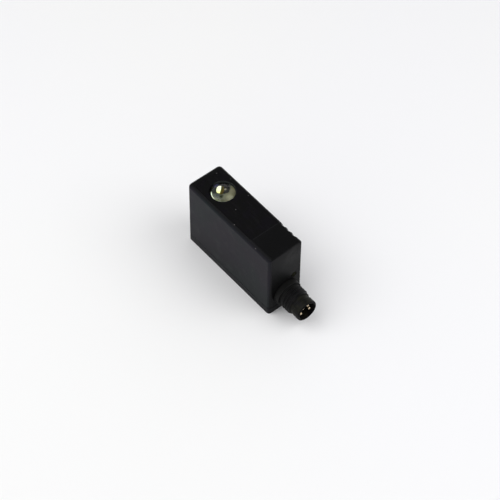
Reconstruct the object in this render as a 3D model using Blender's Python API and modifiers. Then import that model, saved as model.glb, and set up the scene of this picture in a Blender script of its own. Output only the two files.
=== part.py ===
# Reflective optical sensor in a small cuboid housing with a male M8 plug.
# Metres, +Z up. The sensor lies on its back: the optical face looks up, the plug leaves the +X end.
# The origin is the middle of the back face. +Y is the side with the three grip notches.

import math

import bmesh
import bpy
from mathutils import Matrix

for thing in list(bpy.data.objects):
    bpy.data.objects.remove(thing, do_unlink=True)

# Clearances
seatGap = 0.0003
seamGap = 0.0002

# Housing
bodyLength = 0.0370
bodyWidth = 0.0122
bodyHeight = 0.0249
edgeRadius = 0.0013
plugEndRadius = 0.00095
plugEndEdge = 0.0003
sideWall = 0.0010
endWall = 0.0015
cavityCorner = 0.0008
frontWall = 0.0024
edgeSegments = 6
footChamfer = 0.00015

# Back cover, a tray with a tongue that stands inside the housing's walls
coverHeight = 0.0022
coverEdgeRadius = 0.0003
coverFloor = 0.0015
tongueHeight = 0.0010
tongueWall = 0.0009

# Window plate in the optical face
windowStart = 0.0022
windowLength = 0.02555
windowWidth = 0.00974
windowThickness = 0.00105
windowCorner = 0.0008
windowEdge = 0.00015
windowLedge = 0.0005

# Saw-tooth grip notches across the rounding of the far top edge; the tilt is in degrees above +Y
notchCount = 3
notchFirst = 0.0292
notchPitch = 0.0022
notchSlope = 0.00125
notchReturn = 0.00115
notchDepth = 0.0005
notchTilt = 27.0

# Lenses
lensFromEnd = 0.00875
lensRadius = 0.0036
lensSag = 0.0010
lensProud = 0.0004
lensHoleGap = 0.00045
flangeRadius = 0.0039
flangeThickness = 0.0007
receiverFromWindow = 0.00645
receiverRadius = 0.0034
receiverNeck = 0.0006
receiverSag = 0.0008

# Optics carrier with its two tubes
carrierRim = 0.0011
carrierCorner = 0.0006
tubeTopRadius = 0.0032
seatDepth = 0.0012

# Boards and what stands on them
boardThickness = 0.0008
mainBoardClear = 0.0004
railDepth = 0.0008
railHeight = 0.0008
railShort = 0.0026
ledRadius = 0.0015
ledHeight = 0.0031
ledRim = 0.0002
ledRimHeight = 0.0006
photodiodeSize = 0.0028
photodiodeHeight = 0.0010
partGap = 0.0006
icSize = 0.0050
icHeight = 0.0012
transistorLength = 0.0035
transistorWidth = 0.0061
transistorHeight = 0.0017
capacitorLength = 0.0035
capacitorWidth = 0.0028
capacitorHeight = 0.0019
connectorLength = 0.0024
connectorClear = 0.00055
connectorInset = 0.0010
chipBevel = 0.0002

# Indicator
indicatorInset = 0.00193
guideClear = 0.00073
guideRadius = 0.0008
guideInside = 0.0026
indicatorLength = 0.0012
indicatorWidth = 0.0018
indicatorHeight = 0.0012

# Plug, along X from the end face
plugHeight = 0.00665
collarRadius = 0.00435
collarLength = 0.0019
barrelRadius = 0.0032
barrelInside = 0.0048
threadRadius = 0.0040
threadRelief = 0.0035
reliefLength = 0.0003
threadEnd = 0.0062
threadChamfer = 0.0003
sleeveRadius = 0.0035
sleeveEnd = 0.0095
snapDepth = 0.00015
snapStart = 0.0066
snapLength = 0.0008
rimRound = 0.0004
boreRadius = 0.0029
boreDepth = 0.0050
keyWidth = 0.0008
keyDepth = 0.0003

# Insert and pins
insertFlange = 0.0031
insertFlangeLength = 0.0006
pinRadius = 0.0005
pinShank = 0.00035
pinRecess = 0.0006
pinTail = 0.0064
pinTipRound = 0.0003
lowerPinY = 0.0016
lowerPinZ = -0.00075
upperPinY = 0.00095
upperPinZ = 0.00115
lowerLeadY = 0.0026
upperLeadY = 0.0009
leadRadius = 0.00030
leadRun = 0.0037
leadLanding = 0.0016
leadBend = 0.0032
leadSteps = 10

# Seal and retaining ring, inside the end wall
sealWire = 0.00025
ringThickness = 0.0012
ringWidth = 0.0005
ringNotch = 0.0006
ringNotchCount = 4
sealSteps = 12

# Sides of round pieces, and steps in their rounded profiles
roundSides = 48
middleSides = 32
smallSides = 20
capSteps = 8
roundSteps = 4
smoothAngle = 40.0

# Derived places
farEnd = -bodyLength / 2
nearEnd = bodyLength / 2
cavityHalf = bodyWidth / 2 - sideWall
cavityTop = bodyHeight - frontWall
housingFoot = coverHeight + seamGap
windowTop = bodyHeight
windowFoot = windowTop - windowThickness
recessFloor = windowFoot - seatGap
carrierTop = cavityTop - seatGap
innerHalf = cavityHalf - seatGap
innerStart = farEnd + sideWall + seatGap
lensX = farEnd + lensFromEnd
receiverX = farEnd + windowStart + windowLength - receiverFromWindow
carrierEnd = receiverX + flangeRadius + seatGap + carrierRim
flangeFoot = carrierTop - seatDepth + seatGap
wallInside = nearEnd - endWall
indicatorY = cavityHalf - indicatorInset
guideDistance = collarRadius + guideRadius + guideClear
indicatorAxis = plugHeight + math.sqrt(guideDistance ** 2 - indicatorY ** 2)
guideStart = wallInside - guideInside
opticsBoardFoot = indicatorAxis + indicatorHeight / 2 + seatGap
opticsBoardTop = opticsBoardFoot + boardThickness
opticsBoardEnd = guideStart - seatGap
carrierFoot = opticsBoardTop + seatGap
tongueTop = coverHeight + tongueHeight
emitterTubeFoot = ledRadius + ledRim + seatGap
receiverTubeFoot = photodiodeSize / math.sqrt(2) + seatGap
mainBoardFoot = tongueTop + mainBoardClear
mainBoardTop = mainBoardFoot + boardThickness
leadStart = nearEnd - pinTail - seatGap
mainBoardEnd = leadStart - leadRun
ringRadius = barrelRadius + seatGap + ringWidth

parts = bpy.data.collections.new("reflective_optical_sensor")
cutters = bpy.data.collections.new("cutters")
bpy.context.scene.collection.children.link(parts)
bpy.context.scene.collection.children.link(cutters)


def makeMaterial(name, colour, roughness, metallic=0.0):
    material = bpy.data.materials.new(name)
    material.use_nodes = True
    shader = material.node_tree.nodes["Principled BSDF"]
    shader.inputs["Base Color"].default_value = (*colour, 1.0)
    shader.inputs["Roughness"].default_value = roughness
    shader.inputs["Metallic"].default_value = metallic
    return material


def finishObject(name, mesh, material, place=(0.0, 0.0, 0.0), turn=(0.0, 0.0, 0.0)):
    thing = bpy.data.objects.new(name, mesh)
    thing.location = place
    thing.rotation_euler = turn
    if material is None:
        cutters.objects.link(thing)
        thing.hide_render = True
        thing.display_type = "WIRE"
    else:
        parts.objects.link(thing)
        mesh.materials.append(material)
    return thing


def meshFrom(name, grid):
    mesh = bpy.data.meshes.new(name)
    grid.to_mesh(mesh)
    grid.free()
    return mesh


def smoothRound(mesh):
    mesh.shade_smooth()
    mesh.set_sharp_from_angle(angle=math.radians(smoothAngle))


def addBlock(name, low, high, material=None, radius=0.0, segments=3, rounded="all", footRadius=None,
             plugEnd=None):
    # A box between two corners. rounded says which edges take the radius:
    # all, upright (the four along Z), notTop or notBottom. footRadius is the bottom edges' own radius,
    # and plugEnd holds the radii of the upright edges and the top edge at the +X end.
    grid = bmesh.new()
    bmesh.ops.create_cube(grid, size=1.0)
    size = [high[i] - low[i] for i in range(3)]
    middle = [(high[i] + low[i]) / 2 for i in range(3)]
    bmesh.ops.scale(grid, vec=size, verts=grid.verts)
    weights = grid.edges.layers.float.new("bevel_weight_edge")
    for edge in grid.edges:
        heights = [corner.co.z for corner in edge.verts]
        level = abs(heights[0] - heights[1]) < size[2] / 2
        atTop = level and heights[0] > 0
        atBottom = level and heights[0] < 0
        kept = (
            rounded == "all"
            or (rounded == "upright" and not level)
            or (rounded == "notTop" and not atTop)
            or (rounded == "notBottom" and not atBottom)
        )
        edge[weights] = 1.0 if kept else 0.0
        if kept and plugEnd is not None and min(corner.co.x for corner in edge.verts) > 0:
            edge[weights] = plugEnd[1 if level else 0] / radius
        if kept and atBottom and footRadius is not None:
            edge[weights] = footRadius / radius
    thing = finishObject(name, meshFrom(name, grid), material, middle)
    if radius > 0.0:
        bevel = thing.modifiers.new("rounding", "BEVEL")
        bevel.limit_method = "WEIGHT"
        bevel.width = radius
        bevel.segments = segments
    return thing


def breakEdges(thing, width, segments=1):
    # A small bevel on the sharp edges that the rounding has left
    bevel = thing.modifiers.new("brokenEdges", "BEVEL")
    bevel.limit_method = "ANGLE"
    bevel.angle_limit = math.radians(60)
    bevel.width = width
    bevel.segments = segments


def addRod(name, radius, low, high, material=None, axis="Z", place=(0.0, 0.0), sides=roundSides,
           topRadius=None):
    # A round rod from low to high along its axis; place is its centre across the axis.
    grid = bmesh.new()
    bmesh.ops.create_cone(
        grid,
        cap_ends=True,
        segments=sides,
        radius1=radius,
        radius2=radius if topRadius is None else topRadius,
        depth=high - low,
    )
    mesh = meshFrom(name, grid)
    smoothRound(mesh)
    middle = (high + low) / 2
    if axis == "Z":
        return finishObject(name, mesh, material, (place[0], place[1], middle))
    return finishObject(name, mesh, material, (middle, place[0], place[1]), (0.0, math.pi / 2, 0.0))


def addTurned(name, profile, material, place, axis="Z", sides=roundSides, closed=False):
    # A turned piece. The profile's points are (radius, place along the axis), down the outer side.
    grid = bmesh.new()
    corners = [grid.verts.new((radius, 0.0, along)) for radius, along in profile]
    for first, second in zip(corners, corners[1:]):
        grid.edges.new((first, second))
    if closed:
        grid.edges.new((corners[-1], corners[0]))
    turn = (0.0, 0.0, 0.0) if axis == "Z" else (0.0, math.pi / 2, 0.0)
    thing = finishObject(name, meshFrom(name, grid), material, place, turn)
    screw = thing.modifiers.new("turning", "SCREW")
    screw.steps = sides
    screw.render_steps = sides
    screw.use_merge_vertices = True
    screw.merge_threshold = 0.00001
    screw.use_smooth_shade = True
    return thing


def arcPoints(centreRadius, centreAlong, radius, start, end, count):
    # Points on a quarter round or a cap, by angle in degrees from the radius direction.
    points = []
    for step in range(count + 1):
        angle = math.radians(start + (end - start) * step / count)
        points.append((centreRadius + radius * math.cos(angle), centreAlong + radius * math.sin(angle)))
    return points


def cutWith(target, tool, operation="DIFFERENCE"):
    modifier = target.modifiers.new(tool.name, "BOOLEAN")
    modifier.operation = operation
    modifier.solver = "EXACT"
    modifier.object = tool


def makeHousing(material):
    housing = addBlock(
        "housing",
        (farEnd, -bodyWidth / 2, housingFoot),
        (nearEnd, bodyWidth / 2, bodyHeight),
        material, edgeRadius, edgeSegments, "notBottom", None, (plugEndRadius, plugEndEdge),
    )
    breakEdges(housing, footChamfer)
    cutWith(housing, addBlock(
        "cutCavity",
        (farEnd + sideWall, -cavityHalf, 0.0),
        (wallInside, cavityHalf, cavityTop),
        None, cavityCorner, 3, "upright",
    ))
    # The recess that takes the window plate, and the opening inside its ledge
    cutWith(housing, addBlock(
        "cutRecess",
        (farEnd + windowStart - seamGap, -windowWidth / 2 - seamGap, recessFloor),
        (farEnd + windowStart + windowLength + seamGap, windowWidth / 2 + seamGap, bodyHeight + edgeRadius),
        None, windowCorner + seamGap, 4, "upright",
    ))
    cutWith(housing, addBlock(
        "cutOpening",
        (farEnd + windowStart + windowLedge, -windowWidth / 2 + windowLedge, cavityTop - frontWall),
        (farEnd + windowStart + windowLength - windowLedge, windowWidth / 2 - windowLedge, bodyHeight),
        None, windowCorner, 4, "upright",
    ))
    # Holes in the end wall for the plug's barrel and the light guide
    cutWith(housing, addRod(
        "cutPlug", barrelRadius + seatGap, wallInside - endWall, nearEnd + endWall,
        None, "X", (0.0, plugHeight),
    ))
    cutWith(housing, addRod(
        "cutGuide", guideRadius + seamGap, wallInside - endWall, nearEnd + endWall,
        None, "X", (indicatorY, indicatorAxis), smallSides,
    ))
    for number in range(notchCount):
        cutWith(housing, makeNotchCutter(number))
    # Rails on the long walls: one pair under the optics board, one pair above the main board
    for side, word in ((-1, "Near"), (1, "Far")):
        for top, label in (
            (opticsBoardFoot - seatGap, "Upper"),
            (mainBoardTop + seatGap + railHeight, "Lower"),
        ):
            edges = sorted((side * (cavityHalf - railDepth), side * (cavityHalf + sideWall / 2)))
            cutWith(housing, addBlock(
                "joinRail" + label + word,
                (innerStart, edges[0], top - railHeight),
                (opticsBoardEnd - railShort, edges[1], top),
            ), "UNION")
    return housing


def makeNotchCutter(number):
    # A saw-tooth notch: it deepens slowly towards the plug and ends in a steep face.
    # Its outline lies along X and outward from the rounding's own centre line, and reaches as far
    # outside the rounding as the notch goes in.
    deepest = farEnd + notchFirst + number * notchPitch
    outline = (
        (deepest - notchSlope * 2, edgeRadius + notchDepth),
        (deepest, edgeRadius - notchDepth),
        (deepest + notchReturn * 2, edgeRadius + notchDepth),
    )
    curve = bpy.data.curves.new("notch", "CURVE")
    curve.dimensions = "2D"
    curve.fill_mode = "BOTH"
    curve.extrude = edgeRadius
    spline = curve.splines.new("POLY")
    spline.points.add(len(outline) - 1)
    for point, (across, aside) in zip(spline.points, outline):
        point.co = (across, aside, 0.0, 1.0)
    spline.use_cyclic_u = True
    drawn = bpy.data.objects.new("notchOutline", curve)
    drawn.location = (0.0, bodyWidth / 2 - edgeRadius, bodyHeight - edgeRadius)
    drawn.rotation_euler = (math.radians(notchTilt), 0.0, 0.0)
    cutters.objects.link(drawn)
    bpy.context.view_layer.update()
    graph = bpy.context.evaluated_depsgraph_get()
    mesh = bpy.data.meshes.new_from_object(drawn.evaluated_get(graph))
    grid = bmesh.new()
    grid.from_mesh(mesh)
    bmesh.ops.remove_doubles(grid, verts=grid.verts, dist=0.00001)
    grid.to_mesh(mesh)
    grid.free()
    thing = finishObject("cutNotch%d" % (number + 1), mesh, None)
    thing.matrix_world = drawn.matrix_world.copy()
    bpy.data.objects.remove(drawn, do_unlink=True)
    return thing


def makeBackCover(material):
    cover = addBlock(
        "back_cover",
        (farEnd, -bodyWidth / 2, 0.0),
        (nearEnd, bodyWidth / 2, coverHeight),
        material, edgeRadius, edgeSegments, "notTop", coverEdgeRadius, (plugEndRadius, plugEndEdge),
    )
    breakEdges(cover, footChamfer)
    cutWith(cover, addBlock(
        "joinTongue",
        (innerStart, -innerHalf, coverFloor),
        (wallInside - seatGap, innerHalf, tongueTop),
        None, cavityCorner - seatGap, 3, "upright",
    ), "UNION")
    cutWith(cover, addBlock(
        "cutTray",
        (innerStart + tongueWall, -innerHalf + tongueWall, coverFloor),
        (wallInside - seatGap - tongueWall, innerHalf - tongueWall, tongueTop + coverHeight),
    ))
    # The tongue steps down where the plug's ring and barrel stand above it
    cutWith(cover, addRod(
        "cutPlugRelief", ringRadius + seatGap, wallInside - barrelInside, wallInside,
        None, "X", (0.0, plugHeight),
    ))
    return cover


def makeWindow(material):
    window = addBlock(
        "front_window",
        (farEnd + windowStart, -windowWidth / 2, windowFoot),
        (farEnd + windowStart + windowLength, windowWidth / 2, windowTop),
        material, windowCorner, 4, "upright",
    )
    breakEdges(window, windowEdge, 2)
    cutWith(window, addRod(
        "cutLensHole", lensRadius + lensHoleGap, windowFoot - windowThickness, windowTop + windowThickness,
        None, "Z", (lensX, 0.0),
    ))
    return window


def addLens(name, place, radius, neckTop, sag, material):
    # A plano-convex lens: a flange in the carrier's seat, a neck, and a spherical cap.
    capRadius = (radius * radius + sag * sag) / (2 * sag)
    opening = math.degrees(math.asin(radius / capRadius))
    cap = arcPoints(0.0, neckTop + sag - capRadius, capRadius, 90.0, 90.0 - opening, capSteps)
    cap[0] = (0.0, neckTop + sag)
    profile = cap + [
        (radius, flangeFoot + flangeThickness),
        (flangeRadius, flangeFoot + flangeThickness),
        (flangeRadius, flangeFoot),
        (0.0, flangeFoot),
    ]
    return addTurned(name, profile, material, (place, 0.0, 0.0))


def makeCarrier(material):
    carrier = addBlock(
        "optics_carrier",
        (innerStart, -innerHalf, carrierFoot),
        (carrierEnd, innerHalf, carrierTop),
        material, carrierCorner, 2, "upright",
    )
    for place, foot, word in (
        (lensX, emitterTubeFoot, "Emitter"),
        (receiverX, receiverTubeFoot, "Receiver"),
    ):
        cutWith(carrier, addRod(
            "cutSeat" + word, flangeRadius + seatGap, carrierTop - seatDepth, carrierTop + seatDepth,
            None, "Z", (place, 0.0),
        ))
        cutWith(carrier, addRod(
            "cutTube" + word, foot, carrierFoot - seatGap, carrierTop - seatDepth / 2,
            None, "Z", (place, 0.0), roundSides, tubeTopRadius,
        ))
    return carrier


def makeBoards(material):
    addBlock(
        "optics_board",
        (innerStart, -innerHalf, opticsBoardFoot),
        (opticsBoardEnd, innerHalf, opticsBoardTop),
        material, carrierCorner, 2, "upright",
    )
    addBlock(
        "main_board",
        (innerStart, -innerHalf, mainBoardFoot),
        (mainBoardEnd, innerHalf, mainBoardTop),
        material, carrierCorner, 2, "upright",
    )


def makeEmitter(material):
    # A three millimetre lamp body with its rim, standing in the foot of the emitter tube.
    foot = opticsBoardTop + seatGap
    dome = arcPoints(0.0, foot + ledHeight - ledRadius, ledRadius, 90.0, 0.0, roundSteps)
    dome[0] = (0.0, foot + ledHeight)
    profile = dome + [
        (ledRadius, foot + ledRimHeight),
        (ledRadius + ledRim, foot + ledRimHeight),
        (ledRadius + ledRim, foot),
        (0.0, foot),
    ]
    return addTurned("emitter_led", profile, material, (lensX, 0.0, 0.0), "Z", middleSides)


def addChip(name, centre, size, foot, material):
    return addBlock(
        name,
        (centre[0] - size[0] / 2, centre[1] - size[1] / 2, foot),
        (centre[0] + size[0] / 2, centre[1] + size[1] / 2, foot + size[2]),
        material, chipBevel, 1,
    )


def makeElectronics(chip, tantalum, ivory, diode):
    onOptics = opticsBoardTop + seatGap
    onMain = mainBoardTop + seatGap
    addChip("receiver_photodiode", (receiverX, 0.0),
            (photodiodeSize, photodiodeSize, photodiodeHeight), onOptics, diode)
    # On the main board, from the leads towards the far end
    place = mainBoardEnd - leadLanding - leadRadius - partGap - transistorLength / 2
    addChip("output_transistor", (place, 0.0),
            (transistorLength, transistorWidth, transistorHeight), onMain, chip)
    place -= (transistorLength + capacitorLength) / 2 + partGap
    addChip("filter_capacitor", (place, 0.0),
            (capacitorLength, capacitorWidth, capacitorHeight), onMain, tantalum)
    place -= (capacitorLength + icSize) / 2 + partGap
    addChip("sensor_ic", (place, 0.0), (icSize, icSize, icHeight), onMain, chip)
    # The connector stands between the rails and joins the two boards
    width = 2 * (cavityHalf - railDepth - connectorClear)
    height = opticsBoardFoot - seatGap - onMain
    addChip("board_connector", (innerStart + connectorInset + connectorLength / 2, 0.0),
            (connectorLength, width, height), onMain, ivory)


def makeIndicator(lamp, clear):
    addChip("indicator_led", (guideStart - seatGap - indicatorLength / 2, indicatorY),
            (indicatorLength, indicatorWidth, indicatorHeight), indicatorAxis - indicatorHeight / 2, lamp)
    addRod("indicator_light_guide", guideRadius, guideStart, nearEnd, clear, "X",
           (indicatorY, indicatorAxis), smallSides)


def makePlug(material):
    # The tube of the plug: rim, sleeve with its snap groove, thread, collar, barrel, and the bore.
    profile = [(boreRadius, sleeveEnd)]
    profile += arcPoints(sleeveRadius - rimRound, sleeveEnd - rimRound, rimRound, 90.0, 0.0, roundSteps)
    profile += [
        (sleeveRadius, snapStart + snapLength + snapDepth),
        (sleeveRadius - snapDepth, snapStart + snapLength),
        (sleeveRadius - snapDepth, snapStart),
        (sleeveRadius, snapStart - snapDepth),
        (sleeveRadius, threadEnd),
        (threadRadius - threadChamfer, threadEnd),
        (threadRadius, threadEnd - threadChamfer),
        (threadRadius, collarLength + reliefLength + (threadRadius - threadRelief)),
        (threadRelief, collarLength + reliefLength),
        (threadRelief, collarLength),
        (collarRadius, collarLength),
        (collarRadius, seamGap),
        (barrelRadius, seamGap),
        (barrelRadius, -barrelInside),
        (boreRadius, -barrelInside),
    ]
    plug = addTurned("plug_body", profile, material, (nearEnd, 0.0, plugHeight), "X", roundSides, True)
    # The key in the lower side of the bore
    cutWith(plug, addBlock(
        "joinKey",
        (nearEnd + sleeveEnd - boreDepth, -keyWidth / 2, plugHeight - boreRadius - keyDepth),
        (nearEnd + sleeveEnd - rimRound, keyWidth / 2, plugHeight - boreRadius + keyDepth),
    ), "UNION")
    return plug


def pinPlaces():
    return (
        (1, lowerPinY, lowerPinZ, lowerLeadY),
        (2, upperPinY, upperPinZ, upperLeadY),
        (3, -lowerPinY, lowerPinZ, -lowerLeadY),
        (4, -upperPinY, upperPinZ, -upperLeadY),
    )


def makeInsert(material):
    front = sleeveEnd - boreDepth - seatGap
    profile = [
        (0.0, front),
        (boreRadius - seatGap, front),
        (boreRadius - seatGap, -barrelInside - seatGap),
        (insertFlange, -barrelInside - seatGap),
        (insertFlange, -barrelInside - seatGap - insertFlangeLength),
        (0.0, -barrelInside - seatGap - insertFlangeLength),
    ]
    insert = addTurned("contact_insert", profile, material, (nearEnd, 0.0, plugHeight), "X")
    for number, across, up, _ in pinPlaces():
        cutWith(insert, addRod(
            "cutPinHole%d" % number, pinShank + seatGap,
            nearEnd - pinTail, nearEnd + sleeveEnd,
            None, "X", (across, plugHeight + up), smallSides,
        ))
    return insert


def makePins(gold, copper):
    shoulder = sleeveEnd - boreDepth
    tip = sleeveEnd - pinRecess
    profile = arcPoints(pinRadius - pinTipRound, tip - pinTipRound, pinTipRound, 90.0, 0.0, roundSteps)
    profile = [(0.0, tip)] + profile + [
        (pinRadius, shoulder),
        (pinShank, shoulder),
        (pinShank, -pinTail),
        (0.0, -pinTail),
    ]
    for number, across, up, leadAcross in pinPlaces():
        addTurned("contact_pin_%d" % number, profile, gold,
                  (nearEnd, across, plugHeight + up), "X", smallSides)
        addLead(number, across, plugHeight + up, leadAcross, copper)


def addLead(number, across, up, leadAcross, material):
    # A short lead from the pin's tail down onto the end of the main board.
    landing = mainBoardTop + seatGap + leadRadius
    reach = leadRun + leadLanding
    curve = bpy.data.curves.new("lead", "CURVE")
    curve.dimensions = "3D"
    curve.bevel_depth = leadRadius
    curve.bevel_resolution = 2
    curve.use_fill_caps = True
    spline = curve.splines.new("POLY")
    spline.points.add(leadSteps)
    for index, point in enumerate(spline.points):
        share = index / leadSteps
        ease = share * share * (3.0 - 2.0 * share)
        rise = min(1.0, share * reach / leadBend)
        climb = rise * rise * (3.0 - 2.0 * rise)
        point.co = (
            leadStart - reach * share,
            across + (leadAcross - across) * ease,
            up + (landing - up) * climb,
            1.0,
        )
    lead = bpy.data.objects.new("pin_lead_%d" % number, curve)
    curve.materials.append(material)
    parts.objects.link(lead)


def makeSealAndRing(rubber, plastic):
    # The O-ring lies against the end wall's inner face, the ring nut behind it.
    sealMiddle = -endWall - seatGap - sealWire
    middleRadius = barrelRadius + seatGap + sealWire
    seal = arcPoints(middleRadius, sealMiddle, sealWire, 180.0, -180.0, sealSteps)[:-1]
    addTurned("plug_seal", seal, rubber, (nearEnd, 0.0, plugHeight), "X", roundSides, True)
    ringFront = sealMiddle - sealWire - seatGap
    profile = [
        (barrelRadius + seatGap, ringFront),
        (ringRadius, ringFront),
        (ringRadius, ringFront - ringThickness),
        (barrelRadius + seatGap, ringFront - ringThickness),
    ]
    ring = addTurned("plug_retainer", profile, plastic, (nearEnd, 0.0, plugHeight), "X", roundSides, True)
    # Spanner notches in the ring's rim
    for number in range(ringNotchCount):
        tool = addBlock(
            "cutSpanner%d" % (number + 1),
            (-ringNotch / 2, ringRadius - ringNotch / 2, -ringThickness),
            (ringNotch / 2, ringRadius + ringNotch, ringThickness),
        )
        middle = Matrix.Translation((nearEnd + ringFront - ringThickness / 2, 0.0, plugHeight))
        turn = Matrix.Rotation(2 * math.pi * (number + 0.5) / ringNotchCount, 4, "X")
        lie = Matrix.Rotation(math.pi / 2, 4, "Y")
        tool.matrix_world = middle @ turn @ lie @ tool.matrix_basis
        cutWith(ring, tool)
    return ring


blackPlastic = makeMaterial("housing_black", (0.022, 0.022, 0.024), 0.55)
coverPlastic = makeMaterial("cover_black", (0.022, 0.022, 0.024), 0.55)
windowDark = makeMaterial("window_dark", (0.006, 0.006, 0.007), 0.08)
clearLens = makeMaterial("lens_clear", (0.72, 0.75, 0.68), 0.05)
receiverClear = makeMaterial("receiver_lens_clear", (0.72, 0.75, 0.72), 0.05)
carrierBlack = makeMaterial("carrier_black", (0.03, 0.03, 0.03), 0.7)
boardGreen = makeMaterial("board_green", (0.02, 0.12, 0.05), 0.5)
lampAmber = makeMaterial("emitter_amber", (0.8, 0.55, 0.15), 0.2)
diodeDark = makeMaterial("photodiode_dark", (0.03, 0.02, 0.03), 0.2)
chipBlack = makeMaterial("chip_black", (0.03, 0.03, 0.03), 0.5)
tantalumYellow = makeMaterial("capacitor_ochre", (0.62, 0.36, 0.06), 0.45)
ivoryPlastic = makeMaterial("connector_ivory", (0.7, 0.66, 0.55), 0.5)
lampGreen = makeMaterial("indicator_lamp", (0.5, 0.6, 0.2), 0.3)
guideOlive = makeMaterial("light_guide_olive", (0.12, 0.12, 0.05), 0.15)
plugBlack = makeMaterial("plug_black", (0.018, 0.018, 0.019), 0.45)
insertBlack = makeMaterial("insert_black", (0.012, 0.012, 0.012), 0.6)
pinGold = makeMaterial("pin_gold", (0.83, 0.62, 0.28), 0.2, 1.0)
leadTin = makeMaterial("lead_tinned", (0.7, 0.7, 0.68), 0.35, 1.0)
sealRubber = makeMaterial("seal_rubber", (0.02, 0.02, 0.02), 0.8)
ringPlastic = makeMaterial("ring_plastic", (0.03, 0.03, 0.03), 0.5)

makeHousing(blackPlastic)
makeBackCover(coverPlastic)
makeWindow(windowDark)
addLens("emitter_lens", lensX, lensRadius, bodyHeight + lensProud - lensSag, lensSag, clearLens)
addLens("receiver_lens", receiverX, receiverRadius, flangeFoot + flangeThickness + receiverNeck,
        receiverSag, receiverClear)
makeCarrier(carrierBlack)
makeBoards(boardGreen)
makeEmitter(lampAmber)
makeElectronics(chipBlack, tantalumYellow, ivoryPlastic, diodeDark)
makeIndicator(lampGreen, guideOlive)
makePlug(plugBlack)
makeInsert(insertBlack)
makePins(pinGold, leadTin)
makeSealAndRing(sealRubber, ringPlastic)
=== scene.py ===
import math

import bpy
from mathutils import Matrix, Quaternion, Vector


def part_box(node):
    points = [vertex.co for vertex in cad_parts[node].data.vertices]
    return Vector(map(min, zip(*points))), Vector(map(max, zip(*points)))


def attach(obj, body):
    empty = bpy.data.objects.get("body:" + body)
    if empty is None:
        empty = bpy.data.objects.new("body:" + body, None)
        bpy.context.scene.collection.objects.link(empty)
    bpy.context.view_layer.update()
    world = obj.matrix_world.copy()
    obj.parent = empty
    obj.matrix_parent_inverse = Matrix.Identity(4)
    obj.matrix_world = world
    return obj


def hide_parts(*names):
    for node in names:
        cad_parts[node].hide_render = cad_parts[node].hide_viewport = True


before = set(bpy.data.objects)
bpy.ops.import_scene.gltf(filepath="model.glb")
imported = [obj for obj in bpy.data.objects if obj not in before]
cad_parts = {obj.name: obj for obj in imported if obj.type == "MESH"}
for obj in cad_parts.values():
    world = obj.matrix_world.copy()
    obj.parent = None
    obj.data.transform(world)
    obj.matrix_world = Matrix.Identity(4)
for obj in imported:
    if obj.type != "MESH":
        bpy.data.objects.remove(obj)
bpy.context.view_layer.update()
print("frame loaded")


def clearSelection():
    if bpy.context.object and bpy.context.object.mode != "OBJECT":
        bpy.ops.object.mode_set(mode="OBJECT")
    bpy.ops.object.select_all(action="DESELECT")


def makeActive(piece):
    clearSelection()
    piece.select_set(True)
    bpy.context.view_layer.objects.active = piece


def settle(piece):
    makeActive(piece)
    bpy.ops.object.transform_apply(location=True, rotation=True, scale=True)
    return piece


def addBlock(name, low, high):
    clearSelection()
    middle = [(a + b) / 2 for a, b in zip(low, high)]
    bpy.ops.mesh.primitive_cube_add(size=1, location=middle)
    piece = bpy.context.object
    piece.name = name
    piece.scale = [b - a for a, b in zip(low, high)]
    return settle(piece)


def addRod(name, radius, low, high, axis="X", at=(0.0, 0.0), sides=64):
    # at is (y, z) along X, or (x, y) along Z
    clearSelection()
    middle = (low + high) / 2
    place = (middle, *at) if axis == "X" else (*at, middle)
    turn = (0, math.pi / 2, 0) if axis == "X" else (0, 0, 0)
    bpy.ops.mesh.primitive_cylinder_add(
        vertices=sides, radius=radius, depth=high - low, location=place, rotation=turn,
    )
    piece = bpy.context.object
    piece.name = name
    return settle(piece)


def roundBy(piece, widest, segments, radiusOf):
    # each edge takes the radius that radiusOf gives for its two ends, through a weighted bevel
    mesh = piece.data
    weights = mesh.attributes.new("bevel_weight_edge", "FLOAT", "EDGE")
    for edge in mesh.edges:
        a, b = (mesh.vertices[i].co for i in edge.vertices)
        weights.data[edge.index].value = radiusOf(a, b) / widest
    makeActive(piece)
    modifier = piece.modifiers.new("rounding", "BEVEL")
    modifier.width = widest
    modifier.segments = segments
    modifier.limit_method = "WEIGHT"
    modifier.harden_normals = False
    bpy.ops.object.modifier_apply(modifier=modifier.name)
    return piece


def upright(a, b):
    return abs(a.z - b.z) > 0.0002


def cut(piece, tool, operation="DIFFERENCE"):
    makeActive(piece)
    modifier = piece.modifiers.new("cut", "BOOLEAN")
    modifier.operation = operation
    modifier.solver = "EXACT"
    modifier.object = tool
    bpy.ops.object.modifier_apply(modifier=modifier.name)
    bpy.data.objects.remove(tool, do_unlink=True)
    return piece


def drawLine(name, corners):
    # a plane merged to one corner, which is extruded from corner to corner; stays in edit mode
    clearSelection()
    bpy.context.tool_settings.mesh_select_mode = (True, False, False)
    bpy.ops.mesh.primitive_plane_add(size=0.001, location=(0, 0, 0))
    piece = bpy.context.object
    piece.name = name
    bpy.ops.object.mode_set(mode="EDIT")
    bpy.ops.mesh.select_all(action="SELECT")
    bpy.ops.mesh.merge(type="CENTER")
    point = Vector((0, 0, 0))
    for number, corner in enumerate(corners):
        step = Vector(corner) - point
        if number == 0:
            bpy.ops.transform.translate(value=step)
        else:
            bpy.ops.mesh.extrude_vertices_move(TRANSFORM_OT_translate={"value": step})
        point = Vector(corner)
    bpy.ops.mesh.select_all(action="SELECT")
    return piece


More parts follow.
